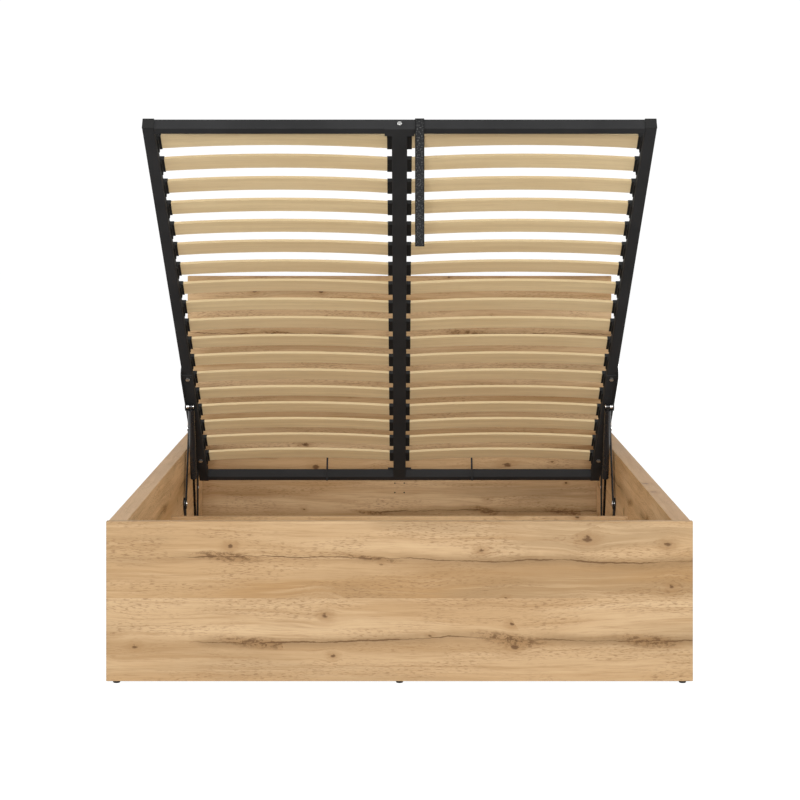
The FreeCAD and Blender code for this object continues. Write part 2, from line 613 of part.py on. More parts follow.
# Gas spring between the bracket and the upper angle: cylinder above, rod below
spring_head = on_frame(spring_head_y, -SPRING_DROP)
head_at = V(spring_x, spring_head[0], spring_head[1])
foot_at = V(spring_x, spring_foot[0], spring_foot[1])
axis = foot_at - head_at
axis.normalize()
eye_hole = SPRING_PIN_D + 2 * PIVOT_PLAY
closed_head = V(spring_x, head_y - HEAD_GAP + spring_head_y, frame_closed_z - SPRING_DROP)
cylinder_reach = (closed_head - foot_at).Length - CYLINDER_END_CLEAR
rod_reach = (head_at - foot_at).Length - cylinder_reach + GLAND_T + PISTON_T + PISTON_MARGIN


def spring_eye(y, z):
    return rod_x(eye_x0, eye_x1, y, z, EYE_D)


barrel = Part.makeCylinder(CYLINDER_D / 2, cylinder_reach - CYLINDER_NECK, head_at + axis * CYLINDER_NECK, axis)
bore_start = CYLINDER_NECK + CYLINDER_WALL
bore = Part.makeCylinder(CYLINDER_D / 2 - CYLINDER_WALL, cylinder_reach - GLAND_T - bore_start,
                         head_at + axis * bore_start, axis)
gland_hole = Part.makeCylinder(ROD_D / 2 + GAS_PLAY, GLAND_T, head_at + axis * (cylinder_reach - GLAND_T), axis)
neck = Part.makeCylinder(NECK_D / 2, CYLINDER_NECK, head_at, axis)
cylinder = barrel.fuse(neck).fuse(spring_eye(spring_head[0], spring_head[1])).cut(bore).cut(gland_hole)
cylinder = cylinder.cut(rod_x(eye_x0, eye_x1, spring_head[0], spring_head[1], eye_hole)).removeSplitter()
save_pair("spring_cylinder", cylinder)
rod = Part.makeCylinder(ROD_D / 2, rod_reach, foot_at, axis * -1)
piston_d = CYLINDER_D - 2 * CYLINDER_WALL - 2 * GAS_PLAY
piston = Part.makeCylinder(piston_d / 2, PISTON_T, foot_at - axis * (rod_reach - PISTON_T), axis * -1)
rod = rod.fuse(piston).fuse(spring_eye(spring_foot[0], spring_foot[1]))
rod = rod.cut(rod_x(eye_x0, eye_x1, spring_foot[0], spring_foot[1], eye_hole)).removeSplitter()
save_pair("spring_rod", rod)

# Pull strap: a loop of webbing round the foot rail and a tail that hangs from its lower front edge
strap_x0 = STRAP_X - STRAP_W / 2
strap_x1 = STRAP_X + STRAP_W / 2
loop_in = STRAP_GAP
loop_out = STRAP_GAP + STRAP_T
loop = box(strap_x0, strap_x1, foot_end - loop_out, foot_rail_y + loop_out, -loop_out, TUBE_H + loop_out)
loop = loop.cut(box(strap_x0, strap_x1, foot_end - loop_in, foot_rail_y + loop_in, -loop_in, TUBE_H + loop_in))
save("strap_loop", raised(loop))
hinge_y, hinge_z = on_frame(foot_end - loop_out, -loop_out)
tail_z1 = hinge_z - STRAP_GAP
save("strap_tail", box(strap_x0, strap_x1, hinge_y - STRAP_T, hinge_y, tail_z1 - STRAP_TAIL, tail_z1))

print("arm foot", arm_foot, "arm head", arm_head)
print("roller open", roller_open, "closed", roller_closed)
print("spring foot", spring_foot, "spring head", spring_head, "length", (foot_at - head_at).Length)
print("frame corner", frame_corner, "frame length", frame_length, "frame half width", frame_x)
print("strap hinge", (hinge_y, hinge_z), "foot end of frame", on_frame(foot_end, 0))
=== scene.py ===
"""Lift-up storage bed in rustic oak decor, its slatted base standing open, on a white studio floor."""
from functools import partial
import math
import bmesh
import bpy
from mathutils import Matrix, Vector


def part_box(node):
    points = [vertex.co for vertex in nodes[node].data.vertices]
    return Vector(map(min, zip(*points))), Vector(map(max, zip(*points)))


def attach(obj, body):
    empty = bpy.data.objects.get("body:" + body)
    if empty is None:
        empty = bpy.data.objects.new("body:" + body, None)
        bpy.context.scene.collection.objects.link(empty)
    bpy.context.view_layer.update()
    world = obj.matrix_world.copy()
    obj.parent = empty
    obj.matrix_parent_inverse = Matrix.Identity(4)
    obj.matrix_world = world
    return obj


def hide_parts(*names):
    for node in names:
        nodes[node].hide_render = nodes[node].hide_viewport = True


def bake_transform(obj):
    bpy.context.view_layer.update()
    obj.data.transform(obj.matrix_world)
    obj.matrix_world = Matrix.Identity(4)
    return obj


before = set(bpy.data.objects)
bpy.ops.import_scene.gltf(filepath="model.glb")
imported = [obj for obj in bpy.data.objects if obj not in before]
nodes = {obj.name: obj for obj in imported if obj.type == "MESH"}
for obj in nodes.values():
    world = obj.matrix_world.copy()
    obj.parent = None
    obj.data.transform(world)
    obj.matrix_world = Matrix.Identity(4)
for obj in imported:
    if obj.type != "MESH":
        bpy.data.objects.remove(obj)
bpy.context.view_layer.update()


# Oak decor boards
# Foot panel, headboard, side rails and divider are chipboard under a printed rustic oak foil, with steel angles screwed
# into the four corners of the box. The print shows glued boards of differing tone, each with a cracked heart line,
# knots, stains and short pores.
def add(tree, kind, inputs=None, **settings):
    """One shader or geometry node; inputs are values or sockets by name or number."""
    made = tree.nodes.new(kind)
    for key, value in settings.items():
        setattr(made, key, value)
    for key, value in (inputs or {}).items():
        if isinstance(value, bpy.types.NodeSocket):
            tree.links.new(value, made.inputs[key])
        else:
            made.inputs[key].default_value = value
    return made


def calc(tree, operation, *values):
    """One sum of the shader's maths."""
    return add(tree, "ShaderNodeMath", dict(enumerate(values)), operation=operation).outputs[0]


def ramp(tree, value, low, high):
    """0 below low, 1 above high, smooth between."""
    limits = {"Value": value, "From Min": low, "From Max": high}
    return add(tree, "ShaderNodeMapRange", limits, interpolation_type="SMOOTHSTEP").outputs[0]


def fade(tree, value, low, high):
    """1 below low, 0 above high, smooth between."""
    return calc(tree, "SUBTRACT", 1.0, ramp(tree, value, low, high))


def noise(tree, u, v, along, across, detail=2.0, rough=0.5):
    """Flat noise with its own frequency along and across the grain, in cycles per metre."""
    scaled = {0: calc(tree, "MULTIPLY", u, along), 1: calc(tree, "MULTIPLY", v, across)}
    place = add(tree, "ShaderNodeCombineXYZ", scaled).outputs[0]
    look = {"Vector": place, "Scale": 1.0, "Detail": detail, "Roughness": rough}
    return add(tree, "ShaderNodeTexNoise", look, noise_dimensions="2D").outputs["Fac"]


def draw(tree, number):
    """A random value from 0 to 1 for each number."""
    return add(tree, "ShaderNodeTexWhiteNoise", {"W": number}, noise_dimensions="1D").outputs["Value"]


def tint(tree, base, colour, amount):
    """The base colour, moved towards another by an amount."""
    return add(tree, "ShaderNodeMix", {0: amount, 6: base, 7: colour}, data_type="RGBA").outputs[2]


def coords(tree, kind="Object"):
    """Coordinates of the piece itself, which stay with it in every pose."""
    return add(tree, "ShaderNodeTexCoord").outputs[kind]


def split(tree, vector):
    """The x, y and z of a vector."""
    return add(tree, "ShaderNodeSeparateXYZ", {0: vector}).outputs


def emboss(tree, shader, height, strength, distance):
    """Fine relief in the surface, with its depth in metres."""
    bump = add(tree, "ShaderNodeBump", {"Height": height, "Strength": strength, "Distance": distance})
    tree.links.new(bump.outputs[0], shader.inputs["Normal"])


def fresh_material(name):
    """A new material with its node tree and shader."""
    material = bpy.data.materials.new(name)
    material.use_nodes = True
    tree = material.node_tree
    return material, tree, tree.nodes["Principled BSDF"]


def dress(material, *names):
    """Gives CAD pieces their one material."""
    for name in names:
        mesh = nodes[name].data
        mesh.materials.clear()
        mesh.materials.append(material)


def oak(name, along, across, through, seed, painted_light_level, band=0.0):
    """Rustic oak foil. The axes follow the panel's length, height and thickness; band darkens its narrow edges; the
    panel's light level scales the colours as painted light or painted shade, so each panel is a lit or shaded copy of
    one foil.
    """
    material, tree, shader = fresh_material(name)
    do, grain, rise, fall = (partial(step, tree) for step in (calc, noise, ramp, fade))
    axes = split(tree, coords(tree))

    # glued boards, each taken from another stretch of wood; the odd factors only keep one seed's draws apart
    board_width = 0.205
    edge_stretch = 0.83
    board_shift = 0.61
    row = do("ADD", axes[across], 0.2 * seed)
    board = do("FLOOR", do("DIVIDE", row, board_width))
    tone = draw(tree, do("ADD", board, 17.3 * seed))
    u = do("ADD", axes[along], 3.7 * seed)
    v = do("MULTIPLY_ADD", axes[through], edge_stretch, do("ADD", axes[across], 1.9 * seed))
    v = do("MULTIPLY_ADD", board, board_shift, v)

    # slow waves in the grain, and the ragged rim of cracks and knots
    wave_height = 0.065
    wave = do("SUBTRACT", grain(u, v, along=1.1, across=3.6, detail=3.0), 0.5)
    v = do("MULTIPLY_ADD", wave, wave_height, v)
    ragged = do("SUBTRACT", grain(u, v, along=70.0, across=110.0, detail=3.0), 0.5)

    # the heart line of each board, where it has cracked and where most knots sit; the narrow edges have none
    heart_height = 0.098
    heart_sway = 0.050
    crack_rag = 0.0035
    luck = draw(tree, do("MULTIPLY_ADD", board, 1.31, 7.7 * seed))
    lane = do("MULTIPLY", luck, 61.0)
    drift = do("SUBTRACT", grain(u, lane, along=1.5, across=1.0, detail=6.0, rough=0.6), 0.5)
    line = do("MULTIPLY_ADD", drift, heart_sway, do("MULTIPLY_ADD", board, board_width, heart_height))
    facing = split(tree, coords(tree, "Normal"))
    edge = rise(do("ABSOLUTE", facing[across]), 0.5, 0.8)
    beside = do("SUBTRACT", do("MULTIPLY_ADD", ragged, crack_rag, row), line)
    beside = do("ADD", beside, edge)
    off = do("ABSOLUTE", beside)
    heart = fall(off, 0.010, 0.055)

    def nearest(cell_u, cell_v, shift):
        """Offsets to the nearest point of a loose scatter, and that point's random picks."""
        shifted = do("ADD", v, shift)
        cell = add(tree, "ShaderNodeCombineXYZ", {0: do("DIVIDE", u, cell_u), 1: do("DIVIDE", shifted, cell_v)})
        spots = {"Vector": cell.outputs[0], "Scale": 1.0}
        scatter = add(tree, "ShaderNodeTexVoronoi", spots, voronoi_dimensions="2D").outputs
        centre = split(tree, scatter["Position"])
        off_u = do("SUBTRACT", u, do("MULTIPLY", centre[0], cell_u))
        off_v = do("SUBTRACT", shifted, do("MULTIPLY", centre[1], cell_v))
        return off_u, off_v, add(tree, "ShaderNodeSeparateColor", {0: scatter["Color"]}).outputs

    def reach(off_u, off_v, length, width):
        """Distance from the middle of an oval, 1 on its rim."""
        part_u = do("POWER", do("DIVIDE", off_u, length), 2.0)
        part_v = do("POWER", do("DIVIDE", off_v, width), 2.0)
        return do("SQRT", do("ADD", part_u, part_v))

    # small knots, and the grain that parts round them
    knot_least = 0.0035
    knot_spread = 0.008
    knot_stretch = 1.5
    knot_rag = 0.008
    rim_rag = 1.6
    heart_pull = 0.30
    parting = 0.75
    parting_fall = -0.06
    off_u, off_v, pick = nearest(cell_u=0.21, cell_v=0.085, shift=0.0)
    size = do("MULTIPLY_ADD", do("POWER", pick[1], 2.0), knot_spread, knot_least)
    rough_v = do("MULTIPLY_ADD", ragged, knot_rag, off_v)
    near = reach(off_u, rough_v, do("MULTIPLY", size, knot_stretch), size)
    near = do("MAXIMUM", do("MULTIPLY_ADD", ragged, rim_rag, near), 0.0)
    knotty = rise(do("MULTIPLY_ADD", heart, heart_pull, pick[0]), 0.65, 0.71)
    bulge = do("EXPONENT", do("MULTIPLY", do("POWER", near, 2.0), parting_fall))
    bulge = do("MULTIPLY", bulge, knotty)
    v = do("SUBTRACT", v, do("MULTIPLY", do("MULTIPLY", off_v, bulge), parting))
    core = do("MULTIPLY", fall(near, 0.35, 1.05), knotty)
    halo = do("MULTIPLY", fall(near, 0.7, 4.0), knotty)

    # mottled patches on the heart line, where a branch was cut along its length
    patch_slant = 0.10
    off_u, _, pick = nearest(cell_u=0.34, cell_v=0.21, shift=0.37)
    length = do("MULTIPLY_ADD", pick[1], 0.110, 0.040)
    width = do("MULTIPLY_ADD", pick[2], 0.018, 0.007)
    patch = fall(reach(off_u, do("MULTIPLY_ADD", off_u, patch_slant, beside), length, width), 0.20, 1.0)
    patch = do("MULTIPLY", patch, rise(pick[0], 0.46, 0.52))
    speck = rise(grain(u, v, along=55.0, across=130.0, detail=4.0, rough=0.7), 0.44, 0.60)
    mottle = do("MULTIPLY", patch, speck)

    # grain from broad zones to fine pores
    broad = grain(u, v, along=0.8, across=8.0, detail=4.0, rough=0.55)
    warm = grain(u, do("ADD", v, 5.3), along=0.7, across=9.0, detail=4.0, rough=0.55)
    grey = grain(u, do("ADD", v, 8.1), along=1.1, across=11.0, detail=4.0, rough=0.55)
    pale = grain(u, do("ADD", v, 11.3), along=3.0, across=95.0, detail=4.0, rough=0.6)
    streak = grain(u, v, along=2.2, across=70.0, detail=5.0, rough=0.6)
    thread = grain(u, v, along=6.0, across=190.0, detail=3.0, rough=0.6)
    fine = grain(u, v, along=16.0, across=420.0, detail=3.0, rough=0.65)
    dash = rise(grain(u, v, along=62.0, across=430.0), 0.53, 0.67)
    pores = do("MULTIPLY", dash, rise(grain(u, v, along=4.0, across=18.0), 0.40, 0.62))

    # the open crack along the heart line, a grey stain close beside it and a brown one below
    crack_least = 0.0006
    crack_spread = 0.0022
    crack_floor = 0.3
    brown_below = 0.022
    lasting = rise(grain(u, do("ADD", lane, 9.1), along=1.3, across=1.0, detail=1.0), 0.40, 0.50)
    lasting = do("MULTIPLY", lasting, rise(luck, 0.02, 0.10))
    opening = rise(grain(u, do("ADD", lane, 4.7), along=9.0, across=1.0), 0.32, 0.68)
    opening = do("MULTIPLY_ADD", opening, crack_spread, crack_least)
    cracks = do("MULTIPLY", fall(off, do("MULTIPLY", opening, crack_floor), opening), lasting)
    stain = do("MULTIPLY", fall(off, 0.001, 0.022), do("MULTIPLY", lasting, rise(grey, 0.32, 0.58)))
    below = do("ABSOLUTE", do("ADD", beside, brown_below))
    brown = do("MULTIPLY", fall(below, 0.010, 0.050), rise(broad, 0.36, 0.56))

    # colours, each with its mask and strength, from the pale ground to the dark of cracks and knots
    # shaded multiplies a colour by the panel's painted light level: painted light above 1, painted shade below 1
    def shaded(red, green, blue):
        return (red * painted_light_level, green * painted_light_level, blue * painted_light_level, 1)

    colour = tint(tree, shaded(0.604, 0.386, 0.190), shaded(0.740, 0.506, 0.280), rise(broad, 0.34, 0.66))
    layers = (
        (shaded(0.470, 0.258, 0.092), rise(warm, 0.46, 0.68), 0.75),
        (shaded(0.420, 0.270, 0.132), rise(grey, 0.48, 0.70), 0.65),
        (shaded(0.800, 0.570, 0.336), tone, 0.30),
        (shaded(0.790, 0.553, 0.312), rise(pale, 0.50, 0.74), 0.38),
        (shaded(0.420, 0.238, 0.095), rise(streak, 0.48, 0.78), 0.48),
        (shaded(0.390, 0.222, 0.092), rise(thread, 0.50, 0.76), 0.38),
        (shaded(0.350, 0.193, 0.076), rise(fine, 0.50, 0.80), 0.34),
        (shaded(0.240, 0.121, 0.045), pores, 0.50),
        (shaded(0.330, 0.165, 0.053), halo, 0.40),
        (shaded(0.420, 0.240, 0.095), brown, 0.62),
        (shaded(0.280, 0.163, 0.067), stain, 0.62),
        (shaded(0.330, 0.172, 0.060), patch, 0.60),
        (shaded(0.140, 0.064, 0.018), mottle, 0.82),
        ((0.105, 0.048, 0.014, 1), cracks, 0.90),
        ((0.100, 0.044, 0.013, 1), core, 0.88),
    )
    for paint, mask, strength in layers:
        colour = tint(tree, colour, paint, do("MULTIPLY", mask, strength))
    if band:
        edge_band = (0.40, 0.245, 0.135, 1)
        colour = tint(tree, colour, edge_band, do("MULTIPLY", edge, band))
    tree.links.new(colour, shader.inputs["Base Color"])
    sunk = do("ADD", do("ADD", cracks, mottle), do("ADD", pores, core))
    height = do("MULTIPLY_ADD", fine, 0.5, do("MULTIPLY", sunk, -1.0))
    emboss(tree, shader, height, strength=0.18, distance=0.0006)
    shader.inputs["Roughness"].default_value = 0.52
    shader.inputs["Specular IOR Level"].default_value = 0.2
    return material


x, y, z = 0, 1, 2
# All panels share one foil, and each has its own painted light level: painted shade on the foot panel, headboard and
# divider, painted light on both rails, with the left rail lighter than the right
dress(oak("oak_foot_panel", x, z, y, seed=1.0, painted_light_level=0.72), "foot_panel")
headboard_oak = oak("oak_headboard", x, z, y, seed=1.94, painted_light_level=0.80)
dress(headboard_oak, "headboard")
dress(oak("oak_left_rail", y, z, x, seed=3.05, painted_light_level=1.14, band=0.5), "left_side_rail")
dress(oak("oak_right_rail", y, z, x, seed=4.05, painted_light_level=1.04, band=0.5), "right_side_rail")
dress(oak("oak_divider", x, z, y, seed=5.75, painted_light_level=0.88), "storage_divider")

# The four bores in the headboard go through the foil; their insides are painted near black, a painted shade in the
# holes.
painted_bore_shade = (0.030, 0.014, 0.006, 1)
bore_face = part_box("headboard")[0].y
bore_middle = 0.205
bore_reach = 0.019
bore_depth = 0.0125
foil_thickness = 0.0004
tree = headboard_oak.node_tree
shader = tree.nodes["Principled BSDF"]
do = partial(calc, tree)
axes = split(tree, coords(tree))
in_bore = do("GREATER_THAN", axes[y], bore_face + foil_thickness)
for measure, limit in (
        (axes[y], bore_face + bore_depth),
        (do("ABSOLUTE", axes[x]), bore_reach),
        (do("ABSOLUTE", do("SUBTRACT", axes[z], bore_middle)), bore_reach)):
    in_bore = do("MULTIPLY", in_bore, do("LESS_THAN", measure, limit))
foil = shader.inputs["Base Color"].links[0].from_socket
# the inside of each bore takes the near-black painted shade
tree.links.new(tint(tree, foil, painted_bore_shade, in_bore), shader.inputs["Base Color"])


# Storage floor
# Two thin boards of pressed fibre with a faint fleck, sawn to size and loose in the box.
# They lie on pine battens along the rails and the divider.
def plain_board(name, colour, fleck):
    material, tree, shader = fresh_material(name)
    look = {"Vector": coords(tree), "Scale": 190.0, "Detail": 4.0, "Roughness": 0.7}
    chips = add(tree, "ShaderNodeTexNoise", look).outputs["Fac"]
    tree.links.new(tint(tree, colour, fleck, ramp(tree, chips, 0.45, 0.75)), shader.inputs["Base Color"])
    emboss(tree, shader, chips, strength=0.1, distance=0.0004)
    shader.inputs["Roughness"].default_value = 0.75
    return material


pressed_board = plain_board("pressed_board", (0.50, 0.36, 0.22, 1), fleck=(0.36, 0.24, 0.13, 1))
dress(pressed_board, "front_floor_panel", "rear_floor_panel")
dress(plain_board("batten_pine", (0.60, 0.42, 0.22, 1), fleck=(0.50, 0.32, 0.15, 1)), "floor_battens")


# Powder-coated steel
# Tubes, tee plates, mattress stop, arms, brackets and rests are mild steel under one charcoal powder coat with a fine
# orange-peel grain. The plates and bars have sheared edges that the coat rounds a little.
def soft_edge(name, label, width):
    """Rounds the sharp edges of a CAD piece by a modifier, with its mesh as it was."""
    edge = nodes[name].modifiers.new(label, "BEVEL")
    edge.width = width
    edge.segments = 2
    edge.limit_method = "ANGLE"


def powder_coat(name, colour, roughness):
    material, tree, shader = fresh_material(name)
    place = coords(tree)
    grain = add(tree, "ShaderNodeTexNoise", {"Vector": place, "Scale": 900.0, "Detail": 2.0}).outputs["Fac"]
    cloud = add(tree, "ShaderNodeTexNoise", {"Vector": place, "Scale": 6.0, "Detail": 3.0}).outputs["Fac"]
    cloud_gain = 1.25
    lighter = tuple(cloud_gain * c for c in colour[:3]) + (1,)
    tree.links.new(tint(tree, colour, lighter, ramp(tree, cloud, 0.3, 0.7)), shader.inputs["Base Color"])
    emboss(tree, shader, grain, strength=0.25, distance=0.0002)
    shader.inputs["Roughness"].default_value = roughness
    shader.inputs["Specular IOR Level"].default_value = 0.04
    return material


tubes_and_wire = ("left_side_tube", "right_side_tube", "foot_rail", "head_rail", "centre_beam", "mattress_stop")
plates_and_bars = ("foot_tee_plate", "head_tee_plate", "left_upper_angle", "right_upper_angle", "left_lift_arm",
                   "right_lift_arm", "left_lift_bracket", "right_lift_bracket", "left_frame_rest", "right_frame_rest")
dress(powder_coat("charcoal_coat", (0.027, 0.027, 0.0275, 1), roughness=0.65), *tubes_and_wire, *plates_and_bars)
for name in plates_and_bars:
    soft_edge(name, "sheared_edge", width=0.0006)


# Zinc-plated fasteners and pins
# Screws, bolts, rivets, studs and corner angles are bright zinc plate over steel, slightly clouded.
# They fix the panels, brackets and frame; the bolt in the foot rail is rougher and has a darker copy of the zinc,
# painted shade that tones down the lamps' reflection in it.
def plated(name, colour, roughness):
    material, tree, shader = fresh_material(name)
    cloud = add(tree, "ShaderNodeTexNoise", {"Vector": coords(tree), "Scale": 160.0, "Detail": 3.0}).outputs["Fac"]
    limits = {"Value": cloud, "To Min": roughness - 0.06, "To Max": roughness + 0.08}
    tree.links.new(add(tree, "ShaderNodeMapRange", limits).outputs[0], shader.inputs["Roughness"])
    shader.inputs["Base Color"].default_value = colour
    shader.inputs["Metallic"].default_value = 1.0
    return material


dress(plated("zinc_plate", (0.68, 0.67, 0.65, 1), roughness=0.32), "corner_angles", "corner_screws", "bracket_screws",
      "rest_screws", "upper_angle_bolts", "arm_pivots", "arm_head_rivets", "guide_pins", "spring_foot_studs",
      "spring_head_studs")
# foot rail bolt: a darker copy of the zinc as painted shade, with a rougher plate
dress(plated("clouded_zinc", (0.40, 0.40, 0.39, 1), roughness=0.42), "foot_rail_bolt")


# Gas springs
# A black lacquered cylinder above and a black nitrided rod below, with eyes that sit on studs of frame and bracket.
# The rod slides into the cylinder as the frame comes down.
cylinder_coat, tree, shader = fresh_material("cylinder_lacquer")
sheen = add(tree, "ShaderNodeTexNoise", {"Vector": coords(tree), "Scale": 40.0}).outputs["Fac"]
sheen = add(tree, "ShaderNodeMapRange", {"Value": sheen, "To Min": 0.22, "To Max": 0.34}).outputs[0]
tree.links.new(sheen, shader.inputs["Roughness"])
shader.inputs["Base Color"].default_value = (0.012, 0.012, 0.013, 1)
dress(cylinder_coat, "left_spring_cylinder", "right_spring_cylinder")
nitrided_rod = plated("nitrided_rod", (0.045, 0.045, 0.046, 1), roughness=0.26)
dress(nitrided_rod, "left_spring_rod", "right_spring_rod")


# Moulded plastic and rubber
# Nail-on glides under the panels, plugs pressed into the tube ends and the rollers on the guide pins are black
# polypropylene with a fine spark-eroded texture. The pads on the frame rests are rubber.
def moulded(name, colour, roughness, texture):
    material, tree, shader = fresh_material(name)
    grain = add(tree, "ShaderNodeTexNoise", {"Vector": coords(tree), "Scale": texture, "Detail": 2.0}).outputs["Fac"]
    emboss(tree, shader, grain, strength=0.2, distance=0.0002)
    shader.inputs["Base Color"].default_value = colour
    shader.inputs["Roughness"].default_value = roughness
    shader.inputs["Specular IOR Level"].default_value = 0.15
    return material


black_plastic = moulded("black_polypropylene", (0.015, 0.015, 0.0147, 1), roughness=0.6, texture=1100.0)
dress(black_plastic, "tube_end_caps", "floor_glides", "guide_rollers")
soft_edge("tube_end_caps", "moulded_edge", width=0.0008)
dress(moulded("pad_rubber", (0.014, 0.014, 0.014, 1), roughness=0.8, texture=700.0), "rest_pads")


# Sprung slats
# Each slat is a bent birch laminate with a printed face, eased edges and its plies showing on the long edges, which are
# darker: partly the plies' own tone, partly painted shade that damps the lamps on them. The grain runs across the bed,
# the tone differs a little from slat to slat, and the ends sit in the slat caps.
raise_angle = math.radians(35.2)
frame_corner = Vector((0.0, 0.763268, 0.262569))
to_flat = Matrix.Rotation(raise_angle, 4, "X") @ Matrix.Translation(-frame_corner)
to_raised = to_flat.inverted()
frame_length = 1.934
slat_first = 0.1038
slat_pitch = 0.1014
slat_rows = 18
ply_pitch = 0.0023
column_step = 37.0
grain_shift = (1.7, 0.29)
slat_wood, tree, shader = fresh_material("birch_laminate")
do, rise = partial(calc, tree), partial(ramp, tree)
laid_flat = {"Vector": coords(tree), "Location": to_flat.translation, "Rotation": (raise_angle, 0, 0)}
axes = split(tree, add(tree, "ShaderNodeMapping", laid_flat).outputs[0])
row = do("ROUND", do("DIVIDE", do("ADD", axes[y], frame_length - slat_first), slat_pitch))
which = do("MULTIPLY_ADD", do("SIGN", axes[x]), column_step, row)
tone = draw(tree, which)
u = do("MULTIPLY_ADD", which, grain_shift[x], axes[x])
v = do("MULTIPLY_ADD", which, grain_shift[y], axes[y])
soft = noise(tree, u, v, along=2.2, across=55.0, detail=4.0, rough=0.6)
fleck = noise(tree, u, v, along=26.0, across=900.0, detail=3.0, rough=0.6)
ply = do("SINE", do("MULTIPLY", axes[z], 2 * math.pi / ply_pitch))
face_normal = add(tree, "ShaderNodeNewGeometry").outputs["True Normal"]
turned = add(tree, "ShaderNodeVectorTransform", {0: face_normal}, vector_type="NORMAL", convert_from="WORLD",
             convert_to="OBJECT").outputs[0]
along_frame_axis = (0.0, math.cos(raise_angle), -math.sin(raise_angle))
slope = add(tree, "ShaderNodeVectorMath", {0: turned, 1: along_frame_axis}, operation="DOT_PRODUCT").outputs["Value"]
on_edge = rise(do("ABSOLUTE", slope), 0.75, 0.9)
glue_lines = do("MULTIPLY", rise(ply, 0.2, 0.9), on_edge)
colour = tint(tree, (0.765, 0.588, 0.330, 1), (0.870, 0.690, 0.408, 1), rise(soft, 0.3, 0.7))
# the long edges are tinted darker, partly the plies' own tone and partly painted shade
for paint, mask, strength in (
        ((0.50, 0.350, 0.190, 1), rise(fleck, 0.52, 0.80), 0.35),
        ((0.66, 0.480, 0.275, 1), tone, 0.4),
        ((0.56, 0.430, 0.235, 1), on_edge, 0.75),
        ((0.36, 0.230, 0.110, 1), glue_lines, 0.45)):
    colour = tint(tree, colour, paint, do("MULTIPLY", mask, strength))
tree.links.new(colour, shader.inputs["Base Color"])
emboss(tree, shader, fleck, strength=0.12, distance=0.0003)
shader.inputs["Roughness"].default_value = 0.5
dress(slat_wood, "left_slats", "right_slats")
for name in ("left_slats", "right_slats"):
    soft_edge(name, "eased_edge", width=0.0012)


# Slat caps
# Moulded pockets that hold the slat ends: one to each slat on the side tubes, hooked over the tube's inner edge, and a
# double one across the centre beam. Every row is the same moulding, so one of each kind is set out along the frame.
def add_box(made, low, high):
    """Adds a plain block between two corners to a mesh that is being made."""
    placed = Matrix.Translation((low + high) / 2) @ Matrix.Diagonal((*(high - low), 1))
    bmesh.ops.create_cube(made, size=1.0, matrix=placed)


def pocket_block(name, low, high, wall, pockets, lip=None):
    """Rounded block with a pocket sunk in from each named side, and a lip below if one is given."""
    edge_radius = 0.0005
    sharp_radians = 1.0
    made = bmesh.new()
    add_box(made, low, high)
    for side, depth in pockets:
        mouth = max(made.faces, key=lambda f: f.calc_center_median().x * side)
        bmesh.ops.inset_individual(made, faces=[mouth], thickness=wall)
        sunk = bmesh.ops.extrude_discrete_faces(made, faces=[mouth])["faces"][0]
        bmesh.ops.translate(made, vec=Vector((-side * depth, 0, 0)), verts=sunk.verts)
    sharp = [e for e in made.edges if e.is_manifold and e.calc_face_angle() > sharp_radians]
    outer = [e for e in sharp if not e.calc_face_angle_signed() < 0]
    bmesh.ops.bevel(made, geom=outer, offset=edge_radius, segments=2, affect="EDGES", profile=0.5)
    if lip:
        add_box(made, *lip)
    mesh = bpy.data.meshes.new(name)
    made.to_mesh(mesh)
    made.free()
    return bpy.data.objects.new(name, mesh)


def along_frame(name, block, material):
    """Sets copies of a block out along the frame, one to a row, and returns the finished mesh."""
    given_values = {
        "Block": ("NodeSocketObject", block),
        "Rows": ("NodeSocketInt", slat_rows),
        "Start": ("NodeSocketVector", tuple(to_raised @ Vector((0, slat_first - frame_length, 0)))),
        "Step": ("NodeSocketVector", tuple(to_raised.to_3x3() @ Vector((0, slat_pitch, 0)))),
        "Turn": ("NodeSocketVector", (-raise_angle, 0.0, 0.0)),
        "Material": ("NodeSocketMaterial", material),
    }
    group = bpy.data.node_groups.new(name + "_rows", "GeometryNodeTree")
    sockets = {}
    for key, (kind, _) in given_values.items():
        sockets[key] = group.interface.new_socket(key, in_out="INPUT", socket_type=kind)
    group.interface.new_socket("Geometry", in_out="OUTPUT", socket_type="NodeSocketGeometry")
    given = add(group, "NodeGroupInput").outputs
    line = add(group, "GeometryNodeMeshLine",
               {"Count": given["Rows"], "Start Location": given["Start"], "Offset": given["Step"]})
    one = add(group, "GeometryNodeObjectInfo", {"Object": given["Block"]})
    spread = add(group, "GeometryNodeInstanceOnPoints",
                 {"Points": line.outputs[0], "Instance": one.outputs["Geometry"], "Rotation": given["Turn"]})
    solid = add(group, "GeometryNodeRealizeInstances", {0: spread.outputs[0]})
    coloured = add(group, "GeometryNodeSetMaterial", {"Geometry": solid.outputs[0], "Material": given["Material"]})
    add(group, "NodeGroupOutput", {0: coloured.outputs[0]})
    holder = bpy.data.objects.new(name, bpy.data.meshes.new(name))
    bpy.context.scene.collection.objects.link(holder)
    spread_out = holder.modifiers.new("rows", "NODES")
    spread_out.node_group = group
    for key, (_, value) in given_values.items():
        spread_out[sockets[key].identifier] = value
    bpy.context.view_layer.update()
    mesh = bpy.data.meshes.new_from_object(holder.evaluated_get(bpy.context.evaluated_depsgraph_get()))
    holder.modifiers.clear()
    holder.data = mesh
    return holder


